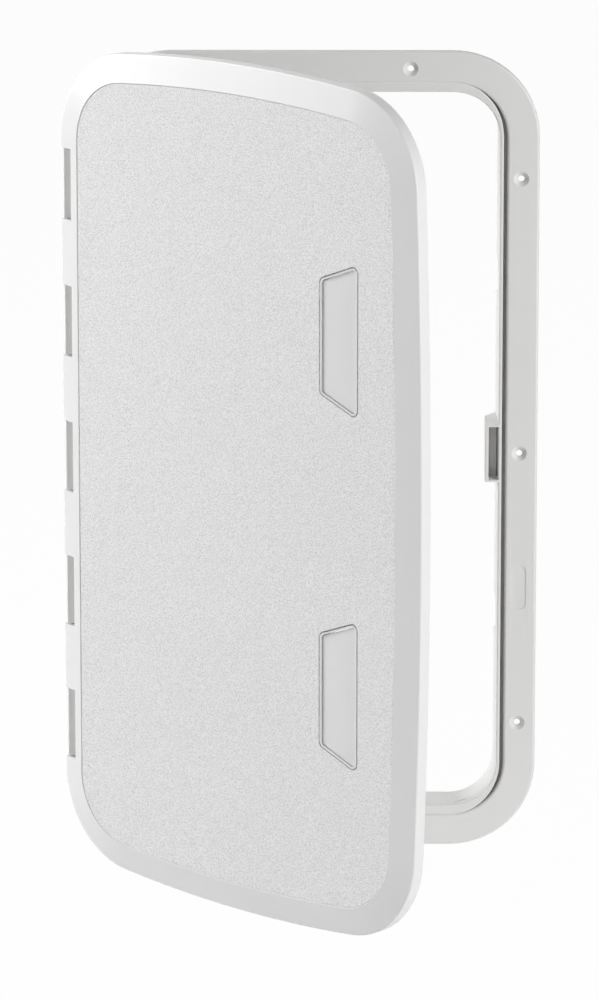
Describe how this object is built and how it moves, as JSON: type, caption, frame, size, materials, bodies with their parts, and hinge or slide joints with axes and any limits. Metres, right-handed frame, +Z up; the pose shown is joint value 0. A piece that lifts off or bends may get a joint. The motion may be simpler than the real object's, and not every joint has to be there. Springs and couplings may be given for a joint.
{
  "type": "service hatch",
  "caption": "White moulded service hatch: rounded flanged frame with a drain channel and deep collar, side-hung lid with a bevelled rim and grained panel, flush push latches.",
  "frame": {"origin": "middle of the bottom flange's flat back face, which lies against the vehicle's side", "axes": "+Y points through the frame into the vehicle, so people stand at -Y; +Z is up and runs along the long side and the hinge; +X points from the hinge side to the latch side"},
  "size_m": [0.3397, 0.2944, 0.606],
  "materials": {
    "frame_plastic": "satin light grey moulded plastic",
    "rim_plastic": "smooth satin white moulded plastic",
    "panel_plastic": "white moulded plastic with a fine pebble grain",
    "latch_plastic": "smooth satin white moulded plastic",
    "seal_rubber": "matte black foam rubber",
    "pin_steel": "plain stainless rod"
  },
  "bodies": {
    "frame_body": {"frame": "frame_plastic", "frame_knuckle_1": "frame_plastic", "frame_knuckle_2": "frame_plastic", "frame_knuckle_3": "frame_plastic", "frame_knuckle_4": "frame_plastic", "frame_knuckle_5": "frame_plastic", "hinge_pin": "pin_steel", "centre_keeper": "frame_plastic"},
    "lid": {"lid_rim": "rim_plastic", "lid_panel": "panel_plastic", "lid_barrel_1": "rim_plastic", "lid_barrel_2": "rim_plastic", "lid_barrel_3": "rim_plastic", "lid_barrel_4": "rim_plastic", "lid_barrel_5": "rim_plastic", "lid_barrel_6": "rim_plastic", "lid_ribs": "rim_plastic", "outer_seal_rib": "rim_plastic", "inner_seal_rib": "rim_plastic", "lid_seal": "seal_rubber", "centre_tab": "rim_plastic", "upper_latch_housing": "latch_plastic", "lower_latch_housing": "latch_plastic", "upper_latch_pin": "pin_steel", "lower_latch_pin": "pin_steel"},
    "upper_latch": {"upper_latch_paddle": "latch_plastic", "upper_latch_tongue": "latch_plastic"},
    "lower_latch": {"lower_latch_paddle": "latch_plastic", "lower_latch_tongue": "latch_plastic"}
  },
  "joints": [
    {"name": "lid_hinge", "type": "hinge", "parent": "frame_body", "child": "lid", "pos_m": [-0.1725, -0.0085, 0.2815], "axis": [0, 0, -1], "range_deg": [-44, 126]},
    {"name": "upper_latch_press", "type": "hinge", "parent": "lid", "child": "upper_latch", "pos_m": [0.01295, -0.19204, 0.4065], "axis": [0, 0, 1], "range_deg": [0, 20], "stiffness_Nm_per_rad": 0.4},
    {"name": "lower_latch_press", "type": "hinge", "parent": "lid", "child": "lower_latch", "pos_m": [0.01295, -0.19204, 0.1565], "axis": [0, 0, 1], "range_deg": [0, 20], "stiffness_Nm_per_rad": 0.4}
  ]
}
